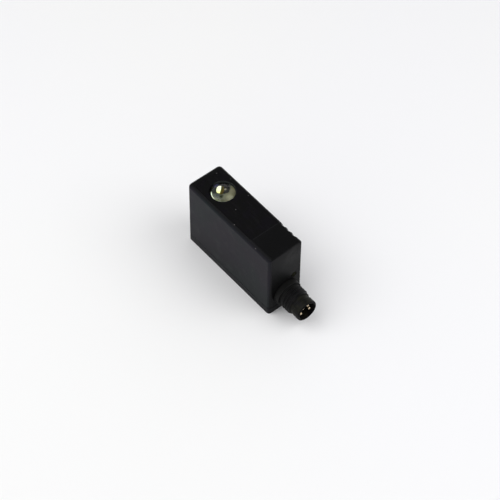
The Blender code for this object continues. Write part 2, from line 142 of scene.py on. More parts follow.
def drawPlate(name, corners, foot, top):
    # an outline in the XY plane, filled and pulled up into a plate
    piece = drawLine(name, [(x, y, foot) for x, y in corners])
    bpy.ops.mesh.edge_face_add()
    bpy.ops.mesh.extrude_region_move(TRANSFORM_OT_translate={"value": (0, 0, top - foot)})
    bpy.ops.mesh.select_all(action="SELECT")
    bpy.ops.mesh.normals_make_consistent(inside=False)
    bpy.ops.object.mode_set(mode="OBJECT")
    return piece


def turnPiece(name, profile, place, axis="X", sides=96):
    # profile: (radius, along) pairs, from the front end round to the back end, spun about the axis
    piece = drawLine(name, [(radius, 0, along) for radius, along in profile])
    bpy.ops.mesh.spin(steps=sides, angle=math.tau, center=(0, 0, 0), axis=(0, 0, 1))
    bpy.ops.mesh.select_all(action="SELECT")
    bpy.ops.mesh.remove_doubles(threshold=1e-6)
    bpy.ops.mesh.normals_make_consistent(inside=False)
    bpy.ops.object.mode_set(mode="OBJECT")
    if axis == "X":
        piece.rotation_euler = (0, math.pi / 2, 0)
    piece.location = place
    return settle(piece)


def arc(middle, radius, start, end, steps):
    # corners on part of a circle, angles in degrees from the first coordinate's direction
    turns = [math.radians(start + (end - start) * i / steps) for i in range(steps + 1)]
    return [(middle[0] + radius * math.cos(t), middle[1] + radius * math.sin(t)) for t in turns]


def standFor(piece, surface, *nodes, slot=None, angle=30):
    # the finished piece: smooth shading, its surface, its place in the object
    makeActive(piece)
    bpy.ops.object.shade_smooth_by_angle(angle=math.radians(angle))
    piece.data.materials.clear()
    piece.data.materials.append(surface)
    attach(piece, "root")
    if nodes:
        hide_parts(*nodes)
    return piece


class Signal:
    # a socket that takes part in sums
    def __init__(self, surface, socket):
        self.surface = surface
        self.socket = socket

    def sum(self, operation, first, second):
        return self.surface.node("ShaderNodeMath", {"operation": operation}, {0: first, 1: second})

    def __add__(self, other):
        return self.sum("ADD", self, other)

    def __radd__(self, other):
        return self.sum("ADD", other, self)

    def __sub__(self, other):
        return self.sum("SUBTRACT", self, other)

    def __rsub__(self, other):
        return self.sum("SUBTRACT", other, self)

    def __mul__(self, other):
        return self.sum("MULTIPLY", self, other)

    def __rmul__(self, other):
        return self.sum("MULTIPLY", other, self)

    def most(self, other):
        return self.sum("MAXIMUM", self, other)

    def between(self, low, high):
        # 0 below low, 1 above high, smooth in the middle
        return self.surface.node(
            "ShaderNodeMapRange", {"interpolation_type": "SMOOTHSTEP", "clamp": True},
            {"Value": self, "From Min": low, "From Max": high, "To Min": 0.0, "To Max": 1.0},
        )


class Surface:
    # a material on Object coordinates; sizes are in millimetres
    def __init__(self, name, centre=(0, 0, 0)):
        self.material = bpy.data.materials.new(name)
        self.material.use_nodes = True
        self.tree = self.material.node_tree
        self.shader = self.tree.nodes["Principled BSDF"]
        place = self.node("ShaderNodeTexCoord", output="Object")
        self.place = self.node(
            "ShaderNodeMapping", {"vector_type": "POINT"},
            {"Vector": place, "Location": [-1000 * c for c in centre], "Scale": (1000, 1000, 1000)},
            output="Vector",
        )
        self.bumps = None

    def node(self, kind, settings=None, inputs=None, output=0):
        made = self.tree.nodes.new(kind)
        for key, value in (settings or {}).items():
            setattr(made, key, value)
        for key, value in (inputs or {}).items():
            if isinstance(value, Signal):
                self.tree.links.new(value.socket, made.inputs[key])
            else:
                made.inputs[key].default_value = value
        return Signal(self, made.outputs[output])

    def noise(self, scale, detail=2.0, rough=0.5, stretch=None, warp=0.0):
        vector = self.place
        if stretch:
            vector = self.node("ShaderNodeMapping", None, {"Vector": vector, "Scale": stretch}, "Vector")
        return self.node("ShaderNodeTexNoise", None, {
            "Vector": vector, "Scale": scale, "Detail": detail, "Roughness": rough, "Distortion": warp,
        }, "Fac")

    def cells(self, scale):
        return self.node("ShaderNodeTexVoronoi", None, {"Vector": self.place, "Scale": scale}, "Distance")

    def mix(self, amount, first, second):
        # two colours, by an amount from 0 to 1
        return self.node("ShaderNodeMix", {"data_type": "RGBA"}, {0: amount, 6: first, 7: second}, 2)

    def distance(self, point):
        inputs = {0: self.place, 1: point}
        return self.node("ShaderNodeVectorMath", {"operation": "DISTANCE"}, inputs, "Value")

    def spot(self, place, inner, outer):
        # 1 within the inner radius of a place, 0 past the outer one
        return 1 - self.distance(place).between(inner, outer)

    def along(self, axis):
        return self.node("ShaderNodeSeparateXYZ", None, {0: self.place}, axis)

    def bump(self, height, strength, depth):
        inputs = {"Height": height, "Strength": strength, "Distance": depth}
        if self.bumps:
            inputs["Normal"] = self.bumps
        self.bumps = self.node("ShaderNodeBump", None, inputs, "Normal")

    def finish(self, **sockets):
        if self.bumps:
            sockets["Normal"] = self.bumps
        for name, value in sockets.items():
            socket = self.shader.inputs[name.replace("_", " ")]
            if isinstance(value, Signal):
                self.tree.links.new(value.socket, socket)
            else:
                socket.default_value = value
        return self.material


def colour(r, g, b):
    return (r, g, b, 1.0)


shellLow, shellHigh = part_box("housing")
plugLow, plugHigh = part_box("plug_body")
lensLow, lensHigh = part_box("emitter_lens")
guideLow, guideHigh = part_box("indicator_light_guide")

# lengths of a piece are in metres, and places and sizes in a finish are in millimetres
body = {
    "low": shellLow.xy, "high": shellHigh.xy, "foot": shellLow.z, "top": shellHigh.z,
    "edge": 0.0013, "plugEdge": 0.00095, "crisp": 0.0003, "footChamfer": 0.00015,
    "pastEndWall": (0.0150, 0.0210),
    "cavity": ((-0.0175, -0.0051, 0.0), (0.0170, 0.0051, 0.0225)), "cavityCorner": 0.0008,
    "recess": ((-0.0165, -0.00507, 0.02355), (0.00945, 0.00507, 0.0262)), "recessCorner": 0.0010,
    "opening": ((-0.0158, -0.00437, 0.0201), (0.00875, 0.00437, 0.0249)), "openingCorner": 0.0008,
    # tones of the painted shade on the top, the foot and the plug end's lower part
    "shadeBase": colour(0.0026, 0.0026, 0.0026), "shadeDrift": colour(0.0032, 0.0032, 0.0032),
    "base": colour(0.0084, 0.0084, 0.0086), "drift": colour(0.0100, 0.0100, 0.0100),
    # tints of the long sides' painted reflection
    "violet": colour(0.0118, 0.0102, 0.0148), "teal": colour(0.0090, 0.0120, 0.0136),
    "rub": colour(0.014, 0.014, 0.015), "dustAndGlint": colour(0.14, 0.13, 0.13),
    "level": 0.075, "rough": 0.38, "sheen": colour(0.91, 0.92, 1.0),
    "specks": ((1.79, -5.12, 24.86), (11.92, -5.82, 24.42), (-15.9, 0.35, 24.9)),
}

# the plug end's painted reflection, the haze patch, its painted shade below, and its olive streak
plugEnd = {
    "haze": ((18.5, 2.9, 21.3), 0.5, 6.5), "reflectionTone": colour(0.023, 0.023, 0.023), "shadeHeights": (8.0, 19.0),
    "streakY": (3.10, 3.45), "streakZ": (5.3, 12.8), "streakTone": colour(0.0075, 0.0080, 0.0030),
}

notches = {
    "count": 3, "first": 0.0107, "pitch": 0.0022, "slope": 0.00125, "back": 0.00115,
    "depth": 0.0005, "tilt": 27,
}

plug = {
    "face": shellHigh.x, "axis": (plugLow.z + plugHigh.z) / 2, "hole": 0.0035,
    "collar": 0.00435, "collarEnd": 0.0019,
    "crest": 0.0040, "root": 0.0037, "pitch": 0.0010, "turns": 3, "threadEnd": 0.0062,
    "toothFoot": 0.46, "toothFlat": 0.10, "toothSunk": 0.0002, "toothGap": 0.0001,
    "sleeve": 0.0035, "sleeveEnd": 0.0098, "rim": 0.0004,
    "snapStart": 0.0066, "snapEnd": 0.0074, "snapDepth": 0.00015,
    "bore": 0.0029, "inside": 0.0048, "barrel": 0.0032, "gap": 0.0002,
    "key": ((0.0230, -0.0004, 0.00345), (0.0276, 0.0004, 0.00405)),
    "base": colour(0.0046, 0.0044, 0.0047), "scuff": colour(0.010, 0.010, 0.009),
    "sleeveTone": colour(0.011, 0.011, 0.0065), "collarLight": colour(0.010, 0.010, 0.0095),
    "rimX": (9.5, 9.65), "rimTone": colour(0.0016, 0.0015, 0.0018),
}

guide = {
    "radius": 0.0008, "hole": 0.0010, "inside": 0.0041, "crown": 0.00006, "edge": 0.0001,
    "y": (guideLow.y + guideHigh.y) / 2, "z": (guideLow.z + guideHigh.z) / 2,
    "dark": colour(0.0055, 0.0060, 0.0020), "light": colour(0.0080, 0.0088, 0.0026),
}


def mouldedBlack(name, centre=(0, 0, 0), specks=()):
    # fine spark-eroded grain, a slow drift of tone, rubbed places, a few bright specks that are partly dust
    # and partly painted glints, and painted light and shade: the top and the foot darker, the long sides
    # lighter with a violet and teal tint
    surface = Surface(name, centre)
    drift = surface.noise(0.075, 2.0, 0.6).between(0.35, 0.65)
    grain = surface.noise(3.2, 3.0, 0.6)
    pits = surface.cells(2.2).between(0.15, 0.6)
    rubbed = surface.noise(0.32, 4.0, 0.62, warp=0.4).between(0.50, 0.72)
    y = surface.along(1)
    # painted reflection: the long sides are lighter, with a violet and teal tint
    litSides = (y * y).between(24.0, 34.0)
    shade = surface.mix(drift, body["base"], body["drift"])
    shade = surface.mix(litSides, shade, surface.mix(drift, body["violet"], body["teal"]))
    # painted shade: darker towards the foot
    low = 1 - surface.along(2).between(1.0, 15.0)
    shade = surface.mix(low * 0.4, shade, body["shadeBase"])
    # painted shade: the top face is painted darker than the sides
    shadedTop = surface.along(2).between(24.2, 24.85)
    shade = surface.mix(shadedTop, shade, surface.mix(drift, body["shadeBase"], body["shadeDrift"]))
    shade = surface.mix(rubbed * 0.16, shade, body["rub"])
    # bright specks, partly dust and partly painted glints
    for speck in specks:
        shade = surface.mix(surface.spot(speck, 0.08, 0.20) * 0.9, shade, body["dustAndGlint"])
    if specks:
        shade = plugEndTones(surface, shade)
    surface.bump(grain, 0.25, 0.00006)
    surface.bump(pits, 0.12, 0.00004)
    return surface.finish(
        Base_Color=shade, Roughness=body["rough"] - 0.08 * rubbed + 0.08 * grain,
        Specular_IOR_Level=body["level"], Specular_Tint=body["sheen"],
    )


def plugEndTones(surface, shade):
    # the plug end's paler upper corner, a painted reflection, its lower part painted darker as shade, and
    # the olive streak that runs down past the indicator
    face = 1000 * plug["face"]
    y = surface.along(1)
    z = surface.along(2)
    atEnd = surface.along(0).between(face - 0.35, face - 0.15)
    # painted reflection: a paler patch on the upper part of the plug end
    haze = surface.spot(*plugEnd["haze"]) * surface.noise(0.5, 3.0, 0.6).between(0.3, 0.6)
    shade = surface.mix(atEnd * haze * 0.6, shade, plugEnd["reflectionTone"])
    # painted shade: the plug end darker towards its foot
    shade = surface.mix(atEnd * (1 - z.between(*plugEnd["shadeHeights"])) * 0.95, shade, body["shadeBase"])
    (left, right), (low, high) = plugEnd["streakY"], plugEnd["streakZ"]
    across = y.between(left - 0.1, left + 0.1) * (1 - y.between(right - 0.1, right + 0.1))
    length = z.between(low, low + 0.8) * (1 - z.between(high - 0.8, high))
    return surface.mix(atEnd * across * length * 0.7, shade, plugEnd["streakTone"])


def bodyRadius(a, b, foot, top):
    # the long edges and the far end are well rounded, the plug end is crisper
    atPlugEnd = min(a.x, b.x) > 0
    if upright(a, b):
        return body["plugEdge"] if atPlugEnd else body["edge"]
    if max(a.z, b.z) < (foot + top) / 2:
        return 0.0
    return body["crisp"] if atPlugEnd else body["edge"]


def makeHousing():
    foot = body["foot"]
    top = body["top"]
    block = addBlock("housingShell", (*body["low"], foot), (*body["high"], top))
    roundBy(block, body["edge"], 12, lambda a, b: bodyRadius(a, b, foot, top))
    roundBy(block, body["footChamfer"], 2, lambda a, b: body["footChamfer"] * (max(a.z, b.z) < foot + 1e-6))
    cavity = addBlock("cavity", *body["cavity"])
    cut(block, roundBy(cavity, body["cavityCorner"], 4, lambda a, b: body["cavityCorner"] * upright(a, b)))
    for place, corner in (("recess", body["recessCorner"]), ("opening", body["openingCorner"])):
        pocket = addBlock("pocket", *body[place])
        cut(block, roundBy(pocket, corner, 8, lambda a, b: corner * upright(a, b)))
    cut(block, addRod("hole", plug["hole"], *body["pastEndWall"], "X", (0, plug["axis"])))
    guidePlace = (guide["y"], guide["z"])
    cut(block, addRod("hole", guide["hole"], *body["pastEndWall"], "X", guidePlace, 32))
    for number in range(notches["count"]):
        cut(block, notchTool(number))
    return block


def notchTool(number):
    # a long wedge across the rounding of the far edge: a slow slope down, then a steep face
    deep = notches["first"] + number * notches["pitch"]
    edge = body["edge"]
    depth = notches["depth"]
    outline = (
        (deep - 2 * notches["slope"], edge + depth),
        (deep, edge - depth),
        (deep + 2 * notches["back"], edge + depth),
    )
    wedge = drawPlate("wedge", outline, -edge, edge)
    wedge.rotation_euler = (math.radians(notches["tilt"]), 0, 0)
    wedge.location = (0, body["high"][1] - edge, body["top"] - edge)
    return settle(wedge)


shellFinish = mouldedBlack("housingMoulded", specks=body["specks"])
standFor(makeHousing(), shellFinish, "housing", slot="housing_black")
print("housing made")


cover = {
    "seam": 0.0002, "floor": 0.0015, "relief": 0.0043, "reliefX": (0.0122, 0.0171),
    "tongue": ((-0.0172, -0.0048), (0.0167, 0.0048)), "tongueTop": 0.0032, "tongueWall": 0.0009,
    "tongueCorner": 0.0005, "hollowTop": 0.0080, "patternCentre": (0.02, 0, 0.01),
}


def makeCover():
    top = body["foot"] - cover["seam"]
    tray = addBlock("coverTray", (*body["low"], 0), (*body["high"], top))
    roundBy(tray, body["edge"], 12, lambda a, b: bodyRadius(a, b, 0, 1) if upright(a, b) else 0.0)
    crisp = body["crisp"]
    roundBy(tray, crisp, 4, lambda a, b: crisp * (max(a.z, b.z) < 1e-6))
    chamfer = body["footChamfer"]
    roundBy(tray, chamfer, 2, lambda a, b: chamfer * (min(a.z, b.z) > top - 1e-6))
    (startX, startY), (endX, endY) = cover["tongue"]
    floor = cover["floor"]
    wall = cover["tongueWall"]
    corner = cover["tongueCorner"]
    tongue = addBlock("tongue", (startX, startY, floor), (endX, endY, cover["tongueTop"]))
    cut(tray, roundBy(tongue, corner, 4, lambda a, b: corner * upright(a, b)), "UNION")
    hollowEnd = (endX - wall, endY - wall, cover["hollowTop"])
    cut(tray, addBlock("hollow", (startX + wall, startY + wall, floor), hollowEnd))
    cut(tray, addRod("relief", cover["relief"], *cover["reliefX"], "X", (0, plug["axis"])))
    return tray


coverFinish = mouldedBlack("coverMoulded", centre=cover["patternCentre"])
standFor(makeCover(), coverFinish, "back_cover", slot="cover_black")
print("back cover made")


lens = {
    "x": (lensLow.x + lensHigh.x) / 2, "radius": 0.00373, "flange": 0.0039,
    "foot": lensLow.z, "neck": 0.0220, "rimTop": 0.0243, "top": lensHigh.z,
    "clear": colour(0.95, 0.97, 0.90), "hazy": colour(0.90, 0.93, 0.86), "index": 1.40,
    "gleam": colour(0.43, 0.43, 0.42),
}

window = {
    "low": (-0.01645, -0.00501, 0.02385), "high": (0.00939, 0.00501, 0.0249),
    "corner": 0.0008, "edge": 0.00015, "hole": 0.00388, "holeZ": (0.0230, 0.0256),
    "base": colour(0.0030, 0.0030, 0.0031), "violet": colour(0.0033, 0.0029, 0.0042),
    "smear": colour(0.009, 0.009, 0.010), "mote": colour(0.03, 0.03, 0.03),
    "dustAndGlint": colour(0.12, 0.12, 0.12),
    "wall": (3.91, 3.96), "wallHighlight": colour(0.036, 0.041, 0.041),
    "seamX": (9.15, 9.28), "seamHighlight": colour(0.011, 0.011, 0.012),
    "specks": ((-2.21, -1.38, 24.9), (-3.92, 4.73, 24.9), (-11.92, 4.73, 24.9), (-16.15, 2.96, 24.9)),
}


def windowGloss():
    surface = Surface("windowGloss")
    patches = surface.noise(0.35, 3.0, 0.6, warp=0.6)
    smears = surface.noise(0.6, 4.0, 0.6, stretch=(0.35, 1.6, 1.0), warp=0.5).between(0.48, 0.70)
    motes = surface.cells(1.4).between(0.02, 0.07)
    shade = surface.mix(patches.between(0.42, 0.66), window["base"], window["violet"])
    shade = surface.mix(smears * 0.18, shade, window["smear"])
    shade = surface.mix((1 - motes) * 0.5, shade, window["mote"])
    # painted highlight: the wall of the lens hole is lighter, except on its side towards the far end and
    # the near side
    wall = surface.spot((1000 * lens["x"], 0, 24.5), *window["wall"])
    right = 0.64 * (surface.along(0) - 1000 * lens["x"]) + 0.77 * surface.along(1)
    shade = surface.mix(wall * right.between(-3.2, -1.6), shade, window["wallHighlight"])
    # painted highlight along the window's end at the seam
    shade = surface.mix(surface.along(0).between(*window["seamX"]), shade, window["seamHighlight"])
    # bright specks: the first is dust, the others are painted glints along the window's far edge and far
    # end
    for speck in window["specks"]:
        shade = surface.mix(surface.spot(speck, 0.07, 0.20) * 0.7, shade, window["dustAndGlint"])
    surface.bump(surface.noise(0.22, 2.0), 0.10, 0.0004)
    return surface.finish(Base_Color=shade, Roughness=0.16 + 0.10 * smears, Specular_IOR_Level=0.10)


def makeWindow():
    plate = addBlock("windowPlate", window["low"], window["high"])
    corner = window["corner"]
    roundBy(plate, corner, 8, lambda a, b: corner * upright(a, b))
    top = window["high"][2] - 1e-6
    roundBy(plate, window["edge"], 3, lambda a, b: window["edge"] * (min(a.z, b.z) > top))
    return cut(plate, addRod("hole", window["hole"], *window["holeZ"], "Z", (lens["x"], 0), 96))


standFor(makeWindow(), windowGloss(), "front_window", slot="window_dark")
print("window made")


def makeLens():
    sag = lens["top"] - lens["rimTop"]
    capRadius = (lens["radius"] ** 2 + sag ** 2) / (2 * sag)
    opening = math.degrees(math.asin(lens["radius"] / capRadius))
    cap = arc((0, lens["top"] - capRadius), capRadius, 90, 90 - opening, 14)
    profile = [(0, lens["top"])] + cap[1:] + [
        (lens["radius"], lens["neck"]), (lens["flange"], lens["neck"]),
        (lens["flange"], lens["foot"]), (0, lens["foot"]),
    ]
    return turnPiece("lensDome", profile, (lens["x"], 0, 0), "Z", 96)


def lensClear():
    surface = Surface("lensClear")
    haze = surface.noise(0.5, 3.0, 0.6)
    surface.bump(surface.noise(0.4, 2.0), 0.03, 0.0003)
    return surface.finish(
        Base_Color=surface.mix(haze, lens["clear"], lens["hazy"]), Roughness=0.02 + 0.03 * haze,
        Transmission_Weight=1.0, IOR=lens["index"], Specular_Tint=lens["gleam"],
    )


standFor(makeLens(), lensClear(), "emitter_lens", slot="lens_clear")


# What is cast into the dome: its dish, painted with light and shade, and the lamp's lead frame, which
# shows as a pale half disc that glows as a painted highlight, an amber bar and a small round post. Places
# are in millimetres from the lens axis.
dish = {
    "profile": (
        (3.70, 24.26), (3.54, 24.26), (3.04, 23.85), (2.40, 23.62),
        (0.0, 23.55), (0.0, 23.30), (3.70, 23.30),
    ),
    "middle": (0, 0, 23.9),
    "litCool": colour(0.19, 0.215, 0.18), "litWarm": colour(0.27, 0.26, 0.175),
    "dark": colour(0.003, 0.004, 0.002), "darkLeft": colour(0.036, 0.042, 0.042),
    "shadow": (3.22, 3.36), "shadowTone": colour(0.012, 0.014, 0.006),
    "violet": ((-3.35, 0.25, 24.0), 0.3, 1.2), "violetReflection": colour(0.075, 0.076, 0.165),
    "glint": ((-1.15, -2.85, 24.0), 0.9, 1.6), "glintTone": colour(0.92, 1.0, 0.76), "glintGlow": 1.3,
    # patches of painted light and shade
    "patches": (  # place, inner and outer radius, share, tone
        ((-0.8, 3.50, 24.2), 0.2, 0.7, 0.8, colour(0.080, 0.084, 0.090)),
        ((2.35, 0.65, 23.7), 0.3, 1.4, 0.9, colour(0.46, 0.46, 0.33)),
        ((0.25, -2.8, 23.8), 0.3, 0.9, 0.8, colour(0.34, 0.37, 0.26)),
        ((-0.35, -1.70, 23.6), 0.3, 0.95, 0.8, colour(0.085, 0.10, 0.105)),
        ((1.85, -1.75, 23.6), 0.2, 0.9, 0.8, colour(0.14, 0.14, 0.085)),
        ((0.50, -0.55, 23.6), 0.1, 0.60, 0.7, colour(0.045, 0.045, 0.036)),
        ((0.55, -1.12, 23.6), 0.20, 0.85, 0.9, colour(0.020, 0.024, 0.008)),
        ((0.95, -2.75, 23.8), 0.2, 0.8, 0.7, colour(0.22, 0.26, 0.10)),
    ),
}


def fromAxis(point, height):
    return (lens["x"] + point[0] / 1000, point[1] / 1000, height / 1000)


def makeDish():
    profile = [(radius / 1000, height / 1000) for radius, height in dish["profile"]]
    return turnPiece("lensDish", profile, fromAxis((0, 0), 0), "Z", 72)


def dishOlive():
    # painted light and shade: dark round the lamp and towards the far end, lit grey olive on the near and
    # plug sides, with a painted glint along the near rim that glows, and a painted shadow and a painted
    # violet reflection on the rim towards the far end
    surface = Surface("dishOlive", fromAxis((0, 0), 0))
    x = surface.along(0)
    y = surface.along(1)
    right = 0.64 * x + 0.77 * y
    near = 0.61 * x - 0.50 * y
    haze = surface.noise(0.9, 3.0, 0.6)
    cloud = surface.noise(0.8, 2.0, 0.6, warp=0.5) - 0.5
    outward = surface.distance(dish["middle"])

    beside = right - 0.4 + 0.5 * cloud
    above = near + 1.6 + 0.5 * cloud
    outside = (beside * beside + above * above).between(2.1, 3.5)
    lit = outside * near.between(-0.25, 0.45).most(right.between(0.2, 0.9))
    pale = surface.mix((right + cloud).between(-2.2, 2.6), dish["litCool"], dish["litWarm"])
    dark = surface.mix(right.between(-2.4, -0.6), dish["darkLeft"], dish["dark"])
    shade = surface.mix(lit, dark, pale)
    for place, inner, outer, share, tone in dish["patches"]:
        shade = surface.mix(surface.spot(place, inner, outer) * share, shade, tone)

    shadow = outward.between(*dish["shadow"]) * (1 - right.between(-2.4, -1.2))
    shade = surface.mix(shadow, shade, dish["shadowTone"])
    # painted reflection: a violet patch on the rim towards the far end
    shade = surface.mix(surface.spot(*dish["violet"]) * 0.9, shade, dish["violetReflection"])
    # painted highlight: a glint along the near rim, which glows
    rim = outward.between(2.98, 3.08) * (1 - outward.between(3.24, 3.36))
    paintedGlint = surface.mix(rim * surface.spot(*dish["glint"]), colour(0, 0, 0), dish["glintTone"])
    surface.bump(haze, 0.2, 0.0001)
    return surface.finish(
        Base_Color=shade, Roughness=0.35 + 0.2 * haze, Specular_IOR_Level=0.05,
        Emission_Color=paintedGlint, Emission_Strength=dish["glintGlow"],
    )


standFor(makeDish(), dishOlive())


def leadPlate(name, outline, levels):
    # a small flat plate of the lead frame, its upper edges just broken
    corners = [fromAxis(corner, 0)[:2] for corner in outline]
    foot, top = (level / 1000 for level in levels)
    plate = drawPlate(name, corners, foot, top)
    broken = 0.00004
    return roundBy(plate, broken, 2, lambda a, b: broken * (min(a.z, b.z) > top - 1e-6))


anvil = {
    "chord": ((-2.14, 1.16), (-0.50, -0.78)), "depth": 1.02, "back": 0.17, "fullness": 0.8, "steps": 32,
    "levels": (23.68, 23.84), "paintedGlint": 0.65,
    "pale": colour(0.98, 1.0, 0.80), "yellow": colour(0.90, 0.92, 0.32),
}


def makeAnvil():
    # a full half disc on its chord, which bulges a little too
    start, end = (Vector(corner) for corner in anvil["chord"])
    middle = (start + end) / 2
    half = (end - start) / 2
    out = Vector((half.y, -half.x)).normalized()
    outline = []
    for number in range(anvil["steps"]):
        turn = math.tau * number / anvil["steps"]
        lengthwise = math.copysign(abs(math.cos(turn)) ** anvil["fullness"], math.cos(turn))
        depth = anvil["depth"] if number < anvil["steps"] / 2 else -anvil["back"]
        outline.append(middle + half * lengthwise + out * depth * abs(math.sin(turn)) ** anvil["fullness"])
    return leadPlate("ledAnvil", outline, anvil["levels"])


# painted highlight: the half disc glows, pale to yellow across it, standing for a glint on the lead frame
def anvilPale():
    surface = Surface("anvilPale", fromAxis((0, 0), 0))
    slope = 0.55 * surface.along(0) - 0.8 * surface.along(1) + 0.5 * surface.noise(1.2, 2.0)
    shade = surface.mix(slope.between(-1.2, 1.2), anvil["pale"], anvil["yellow"])
    surface.bump(surface.noise(2.5, 2.0), 0.05, 0.00005)
    return surface.finish(
        Base_Color=shade, Roughness=0.3, Emission_Color=shade, Emission_Strength=anvil["paintedGlint"],
    )


standFor(makeAnvil(), anvilPale())


bar = {
    "outline": ((-1.84, 1.44), (-0.24, -0.92), (0.10, -0.70), (0.20, -0.15), (-0.36, 0.72), (-1.25, 1.48)),
    "levels": (23.66, 23.80), "amber": colour(0.090, 0.072, 0.0), "red": colour(0.15, 0.080, 0.010),
}


def barAmber():
    surface = Surface("barAmber", fromAxis((0, 0), 0))
    redder = (surface.along(0) + 0.72 * surface.along(1)).between(-0.35, 0.25)
    shade = surface.mix(redder, bar["amber"], bar["red"])
    surface.bump(surface.noise(3.0, 2.0), 0.1, 0.00005)
    return surface.finish(Base_Color=shade, Roughness=0.25)


standFor(leadPlate("ledBar", bar["outline"], bar["levels"]), barAmber())


post = {
    "place": (-0.04, 1.19), "radius": 0.78, "foot": 23.62, "top": 23.78, "dip": 0.03, "round": 0.06,
    "spot": ((-0.48, 0.10, 0), 0.20, 0.42),
    "tan": colour(0.38, 0.34, 0.25), "dark": colour(0.003, 0.003, 0.001),
}


def makePost():
    out, foot, top, dip, edge = (post[key] / 1000 for key in ("radius", "foot", "top", "dip", "round"))
    profile = [
        (0, top - dip), (out * 0.5, top - dip), (out * 0.6, top), (out - edge, top),
        (out, top - edge), (out, foot), (0, foot),
    ]
    return turnPiece("ledPost", profile, fromAxis(post["place"], 0), "Z", 40)


def postGrey():
    surface = Surface("postGrey", fromAxis(post["place"], post["top"]))
    shade = surface.mix(surface.spot(*post["spot"]), post["dark"], post["tan"])
    surface.bump(surface.noise(3.0, 2.0), 0.1, 0.00005)
    return surface.finish(Base_Color=shade, Roughness=0.35)


standFor(makePost(), postGrey())
print("lens made")


def makePlug():
    # the profile runs from the bore's mouth over the rim, the snap groove, the thread's root and the
    # collar to the barrel inside the body, and back along the bore
    end = plug["sleeveEnd"]
    rim = plug["rim"]
    sleeve = plug["sleeve"]
    snap = plug["snapDepth"]
    collar = plug["collar"]
    broken = 0.0001
    profile = [(plug["bore"], end - broken), (plug["bore"] + broken, end)]
    profile += arc((sleeve - rim, end - rim), rim, 90, 0, 6)
    profile += [
        (sleeve, plug["snapEnd"] + snap), (sleeve - snap, plug["snapEnd"]),
        (sleeve - snap, plug["snapStart"]), (sleeve, plug["snapStart"] - snap),
        (sleeve, plug["threadEnd"]), (plug["root"], plug["threadEnd"]),
        (plug["root"], plug["collarEnd"]), (collar - broken, plug["collarEnd"]),
        (collar, plug["collarEnd"] - broken), (collar, plug["gap"]),
        (plug["barrel"], plug["gap"]), (plug["barrel"], -plug["inside"]),
        (plug["bore"], -plug["inside"]), (plug["bore"], end - broken),
    ]
    tube = turnPiece("plugTube", profile, (plug["face"], 0, plug["axis"]), "X", 96)
    cut(tube, makeThread(), "UNION")
    cut(tube, addBlock("key", *plug["key"]), "UNION")
    return tube


def makeThread():
    # one turn's tooth, drawn as a closed outline and wound along the plug with the Screw modifier
    pitch = plug["pitch"]
    turns = plug["turns"]
    half = pitch * plug["toothFoot"]
    flat = pitch * plug["toothFlat"]
    sunk = plug["root"] - plug["toothSunk"]
    start = plug["threadEnd"] - plug["toothGap"] - turns * pitch - half
    outline = ((sunk, -half), (plug["crest"], -flat), (plug["crest"], flat), (sunk, half))
    tooth = drawLine("thread", [(radius, 0, start + along) for radius, along in outline])
    bpy.ops.mesh.edge_face_add()
    bpy.ops.mesh.delete(type="ONLY_FACE")
    bpy.ops.object.mode_set(mode="OBJECT")
    screw = tooth.modifiers.new("wind", "SCREW")
    screw.axis = "Z"
    screw.steps = 72
    screw.render_steps = 72
    screw.screw_offset = pitch
    screw.iterations = turns
    screw.use_smooth_shade = False
    bpy.ops.object.modifier_apply(modifier=screw.name)
    bpy.ops.object.mode_set(mode="EDIT")
    bpy.context.tool_settings.mesh_select_mode = (True, False, False)
    bpy.ops.mesh.select_all(action="DESELECT")
    bpy.ops.mesh.select_non_manifold()
    bpy.ops.mesh.fill()
    bpy.ops.mesh.select_all(action="SELECT")
    bpy.ops.mesh.normals_make_consistent(inside=False)
    bpy.ops.object.mode_set(mode="OBJECT")
    tooth.rotation_euler = (0, math.pi / 2, 0)
    tooth.location = (plug["face"], 0, plug["axis"])
    return settle(tooth)


def plugSatin():
    surface = Surface("plugSatin", (plug["face"], 0, plug["axis"]))
    grain = surface.noise(4.5, 3.0, 0.6)
    scuffs = surface.noise(1.1, 4.0, 0.65, warp=0.5).between(0.50, 0.72)
    front = surface.along(0)
    shade = surface.mix(scuffs * 0.4, plug["base"], plug["scuff"])
    sleeve = front.between(6.0, 6.4) * surface.noise(0.5).between(0.4, 0.6)
    shade = surface.mix(sleeve * 0.7, shade, plug["sleeveTone"])
    # painted light: the upper side of the collar is lighter, against the shade where it meets the end face
    collar = (1 - front.between(1.7, 3.2)) * surface.along(2).between(-2.0, 3.0)
    shade = surface.mix(collar * 0.7, shade, plug["collarLight"])
    shade = surface.mix(front.between(*plug["rimX"]), shade, plug["rimTone"])
    surface.bump(grain, 0.2, 0.00005)
    return surface.finish(Base_Color=shade, Roughness=0.48 + 0.15 * scuffs, Specular_IOR_Level=0.08)


standFor(makePlug(), plugSatin(), "plug_body", slot="plug_black")
print("plug made")


pins = {
    "count": 4, "radius": 0.0005, "shank": 0.00035, "round": 0.0004,
    "tip": 0.0091, "shoulder": 0.0045, "tail": -0.0064,
    "bright": colour(0.60, 0.50, 0.36), "dull": colour(0.46, 0.37, 0.25),
}


def makePin():
    radius = pins["radius"]
    shank = pins["shank"]
    tip = pins["tip"]
    dome = pins["round"]
    profile = [(0, tip)] + arc((radius - dome, tip - dome), dome, 90, 0, 6)
    profile += [(radius, pins["shoulder"]), (shank, pins["shoulder"])]
    profile += [(shank, pins["tail"]), (0, pins["tail"])]
    return turnPiece("contactPin", profile, (plug["face"], 0, 0), "X", 32)


